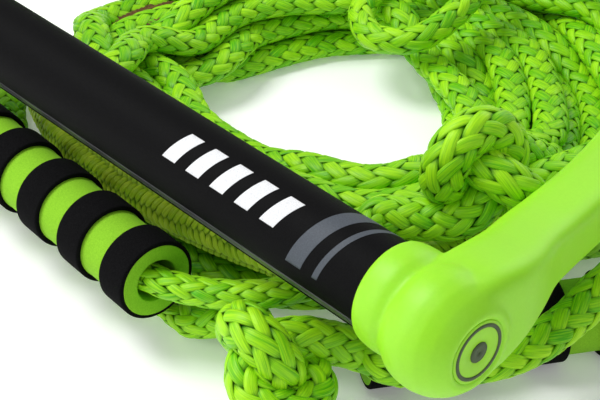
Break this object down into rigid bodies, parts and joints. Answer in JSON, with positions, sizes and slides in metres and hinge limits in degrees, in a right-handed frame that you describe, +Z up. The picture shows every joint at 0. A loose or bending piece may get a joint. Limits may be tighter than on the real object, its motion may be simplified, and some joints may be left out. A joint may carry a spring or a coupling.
{
  "type": "tow rope handle",
  "caption": "Foam-gripped tow bar with moulded end caps on a rope bridle, hinged to a coiled braided tow rope that carries foam floats, knots and a bungee stretch.",
  "frame": {"origin": "on the floor, under the middle of the box around the handle and the floats, without the free rope", "axes": "+X along the bar towards the cap nearest the viewer, +Y from the bar towards the bridle's eye, +Z up"},
  "size_m": [0.4026, 0.3954, 0.0699],
  "materials": {
    "tube": "satin",
    "grip_foam": "matt",
    "seam": "gloss",
    "cap_rubber": "satin",
    "badge": "matt",
    "rope": "woven",
    "bungee": "woven",
    "latex": "matt",
    "foam_green": "matt",
    "foam_black": "matt",
    "tie": "woven"
  },
  "bodies": {
    "root": {"rope_coil": "rope", "coil_strap": "tie", "knot_1": "rope", "knot_2": "rope", "bungee_cover": "bungee", "bungee_core": "latex", "float_rope_left": "rope", "front_rope": "rope", "float_rope_right": "rope", "knot_tail": "rope", "line_loop": "rope", "line_splice": "rope", "line_lead": "rope", "tow_eye": "rope", "eye_splice": "rope"},
    "handle": {"bar_tube": "tube", "grip_sleeve": "grip_foam", "grip_seam_strip": "seam", "tube_plug_left": "grip_foam", "tube_plug_right": "grip_foam", "end_cap_left": "cap_rubber", "end_cap_right": "cap_rubber", "arm_left": "cap_rubber", "arm_right": "cap_rubber", "end_badge_left": "badge", "end_badge_right": "badge", "bridle_rope": "rope", "yoke": "cap_rubber", "bridle_eye": "rope"},
    "float_left": {"float_left_core": "foam_green", "float_left_bands": "foam_black"},
    "float_right": {"float_right_core": "foam_green", "float_right_bands": "foam_black"}
  },
  "joints": [
    {"name": "handle_swing", "type": "hinge", "parent": "root", "child": "handle", "pos_m": [-0.017, 0.13425, 0.052], "axis": [-1, 0, 0], "range_deg": [0, 65]},
    {"name": "float_left_slide", "type": "slide", "parent": "root", "child": "float_left", "axis": [-0.9982, 0.058, -0.012], "range_m": [0, 0.04]},
    {"name": "float_right_slide", "type": "slide", "parent": "root", "child": "float_right", "axis": [0.4961, 0.8682, 0], "range_m": [0, 0.03]}
  ]
}
